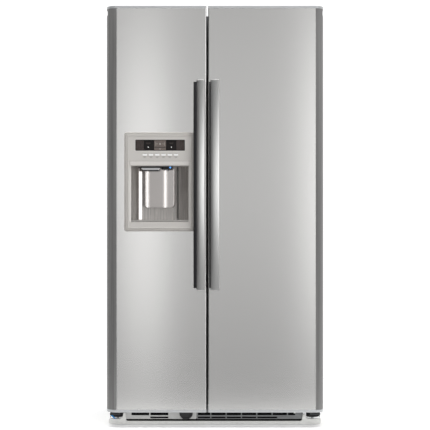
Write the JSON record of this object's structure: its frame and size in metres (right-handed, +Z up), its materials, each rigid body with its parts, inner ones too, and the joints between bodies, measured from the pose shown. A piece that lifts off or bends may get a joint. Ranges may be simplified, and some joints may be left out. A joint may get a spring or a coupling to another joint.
{
  "type": "side by side refrigerator",
  "caption": "Tall two-door refrigerator with brushed-steel doors, bowed bar handles and an ice and water dispenser in the freezer door; doors, drawers, paddle and buttons move.",
  "frame": {"origin": "on the floor, under the centre of the closed object's bounding box", "axes": "+Z up, -Y towards the person in front of the doors, +X to that person's right"},
  "size_m": [0.902, 0.75, 1.744],
  "materials": {
    "brushed_steel": "satin",
    "trim_grey": "satin",
    "cap_silver": "satin",
    "handle_metal": "satin",
    "liner_white": "satin",
    "seal_grey": "matte",
    "bezel_taupe": "satin",
    "niche_metal": "satin",
    "window_black": "gloss",
    "button_white": "satin",
    "black_plastic": "matte",
    "base_silver": "satin",
    "clear_plastic": "gloss",
    "glass": "gloss",
    "case_grey": "satin",
    "foam": "matte",
    "zinc": "satin",
    "black_enamel": "satin",
    "aluminium": "satin"
  },
  "bodies": {
    "cabinet": {"outer_case": "case_grey", "back_panel": "zinc", "cabinet_foam": "foam", "freezer_liner": "liner_white", "fridge_liner": "liner_white", "base_chassis": "zinc", "base_grille": "base_silver", "hinge_top_left": "zinc", "hinge_top_right": "zinc", "hinge_bottom_left": "black_enamel", "hinge_bottom_right": "black_enamel", "compressor": "black_enamel", "condenser_coil": "black_enamel", "machine_cover": "zinc", "evaporator": "aluminium", "evaporator_cover": "liner_white", "ice_maker": "aluminium", "freezer_shelf_upper": "glass", "freezer_shelf_lower": "glass", "fridge_shelf_upper": "glass", "fridge_shelf_middle": "glass", "fridge_shelf_lower": "glass"},
    "freezer_door": {"freezer_door_skin": "brushed_steel", "freezer_door_side_trim": "trim_grey", "freezer_door_top_cap": "cap_silver", "freezer_door_bottom_cap": "cap_silver", "freezer_door_liner": "liner_white", "freezer_door_gasket": "seal_grey", "freezer_door_handle": "handle_metal", "dispenser_frame": "bezel_taupe", "dispenser_niche": "niche_metal", "display_window": "window_black", "freezer_bin": "clear_plastic"},
    "fridge_door": {"fridge_door_skin": "brushed_steel", "fridge_door_side_trim": "trim_grey", "fridge_door_top_cap": "cap_silver", "fridge_door_bottom_cap": "cap_silver", "fridge_door_liner": "liner_white", "fridge_door_gasket": "seal_grey", "fridge_door_handle": "handle_metal", "fridge_bin_lower": "clear_plastic", "fridge_bin_upper": "clear_plastic"},
    "dairy_lid": {"dairy_lid": "clear_plastic"},
    "dispenser_paddle": {"dispenser_paddle": "niche_metal"},
    "chute_flap": {"chute_flap": "black_plastic"},
    "ice_bucket": {"ice_bucket": "clear_plastic"},
    "ice_auger": {"ice_auger": "aluminium"},
    "freezer_basket": {"freezer_basket": "clear_plastic"},
    "crisper_upper": {"crisper_upper": "clear_plastic"},
    "crisper_lower": {"crisper_lower": "clear_plastic"},
    "condenser_fan": {"condenser_fan": "black_plastic"},
    "filter_cap": {"filter_cap": "black_plastic"},
    "foot_left": {"foot_left": "black_plastic"},
    "foot_right": {"foot_right": "black_plastic"},
    "button_1": {"button_1": "button_white"},
    "button_2": {"button_2": "button_white"},
    "button_3": {"button_3": "button_white"},
    "button_4": {"button_4": "button_white"},
    "button_5": {"button_5": "button_white"},
    "button_6": {"button_6": "button_white"}
  },
  "joints": [
    {"name": "freezer_door_swing", "type": "hinge", "parent": "cabinet", "child": "freezer_door", "pos_m": [-0.428, -0.266, 0], "axis": [0, 0, -1], "range_deg": [0, 115]},
    {"name": "fridge_door_swing", "type": "hinge", "parent": "cabinet", "child": "fridge_door", "pos_m": [0.428, -0.266, 0], "axis": [0, 0, 1], "range_deg": [0, 115]},
    {"name": "ice_bucket_slide", "type": "slide", "parent": "cabinet", "child": "ice_bucket", "axis": [0, -1, 0], "range_m": [0, 0.125]},
    {"name": "freezer_basket_slide", "type": "slide", "parent": "cabinet", "child": "freezer_basket", "axis": [0, -1, 0], "range_m": [0, 0.205]},
    {"name": "crisper_upper_slide", "type": "slide", "parent": "cabinet", "child": "crisper_upper", "axis": [0, -1, 0], "range_m": [0, 0.185]},
    {"name": "crisper_lower_slide", "type": "slide", "parent": "cabinet", "child": "crisper_lower", "axis": [0, -1, 0], "range_m": [0, 0.185]},
    {"name": "ice_auger_spin", "type": "hinge", "parent": "ice_bucket", "child": "ice_auger", "pos_m": [-0.2655, 0, 1.2555], "axis": [0, 1, 0], "continuous": true},
    {"name": "condenser_fan_spin", "type": "hinge", "parent": "cabinet", "child": "condenser_fan", "pos_m": [-0.066, 0.23, 0.2], "axis": [1, 0, 0], "continuous": true},
    {"name": "filter_cap_turn", "type": "hinge", "parent": "cabinet", "child": "filter_cap", "pos_m": [-0.121, -0.24, 0.052], "axis": [0, 1, 0], "range_deg": [0, 90]},
    {"name": "foot_left_turn", "type": "hinge", "parent": "cabinet", "child": "foot_left", "pos_m": [-0.41, -0.196, 0], "axis": [0, 0, 1], "continuous": true},
    {"name": "foot_right_turn", "type": "hinge", "parent": "cabinet", "child": "foot_right", "pos_m": [0.41, -0.196, 0], "axis": [0, 0, 1], "continuous": true},
    {"name": "dairy_lid_lift", "type": "hinge", "parent": "fridge_door", "child": "dairy_lid", "pos_m": [0.202, -0.1485, 1.5995], "axis": [1, 0, 0], "range_deg": [0, 85]},
    {"name": "paddle_push", "type": "hinge", "parent": "freezer_door", "child": "dispenser_paddle", "pos_m": [-0.2315, -0.27, 1.066], "axis": [1, 0, 0], "range_deg": [0, 7], "stiffness_Nm_per_rad": 1.2},
    {"name": "chute_flap_open", "type": "hinge", "parent": "freezer_door", "child": "chute_flap", "pos_m": [-0.2655, -0.27, 1.122], "axis": [-1, 0, 0], "range_deg": [0, 55]},
    {"name": "button_1_press", "type": "slide", "parent": "freezer_door", "child": "button_1", "axis": [0, 1, 0], "range_m": [0, 0.0014], "stiffness_N_per_m": 400},
    {"name": "button_2_press", "type": "slide", "parent": "freezer_door", "child": "button_2", "axis": [0, 1, 0], "range_m": [0, 0.0014], "stiffness_N_per_m": 400},
    {"name": "button_3_press", "type": "slide", "parent": "freezer_door", "child": "button_3", "axis": [0, 1, 0], "range_m": [0, 0.0014], "stiffness_N_per_m": 400},
    {"name": "button_4_press", "type": "slide", "parent": "freezer_door", "child": "button_4", "axis": [0, 1, 0], "range_m": [0, 0.0014], "stiffness_N_per_m": 400},
    {"name": "button_5_press", "type": "slide", "parent": "freezer_door", "child": "button_5", "axis": [0, 1, 0], "range_m": [0, 0.0014], "stiffness_N_per_m": 400},
    {"name": "button_6_press", "type": "slide", "parent": "freezer_door", "child": "button_6", "axis": [0, 1, 0], "range_m": [0, 0.0014], "stiffness_N_per_m": 400}
  ],
  "couplings": [
    {"joint": "ice_bucket_slide", "follows": "freezer_door_swing", "m_per_rad": 0.06},
    {"joint": "freezer_basket_slide", "follows": "freezer_door_swing", "m_per_rad": 0.1},
    {"joint": "crisper_upper_slide", "follows": "fridge_door_swing", "m_per_rad": 0.09},
    {"joint": "crisper_lower_slide", "follows": "fridge_door_swing", "m_per_rad": 0.09},
    {"joint": "chute_flap_open", "follows": "paddle_push", "ratio": 7.5}
  ]
}
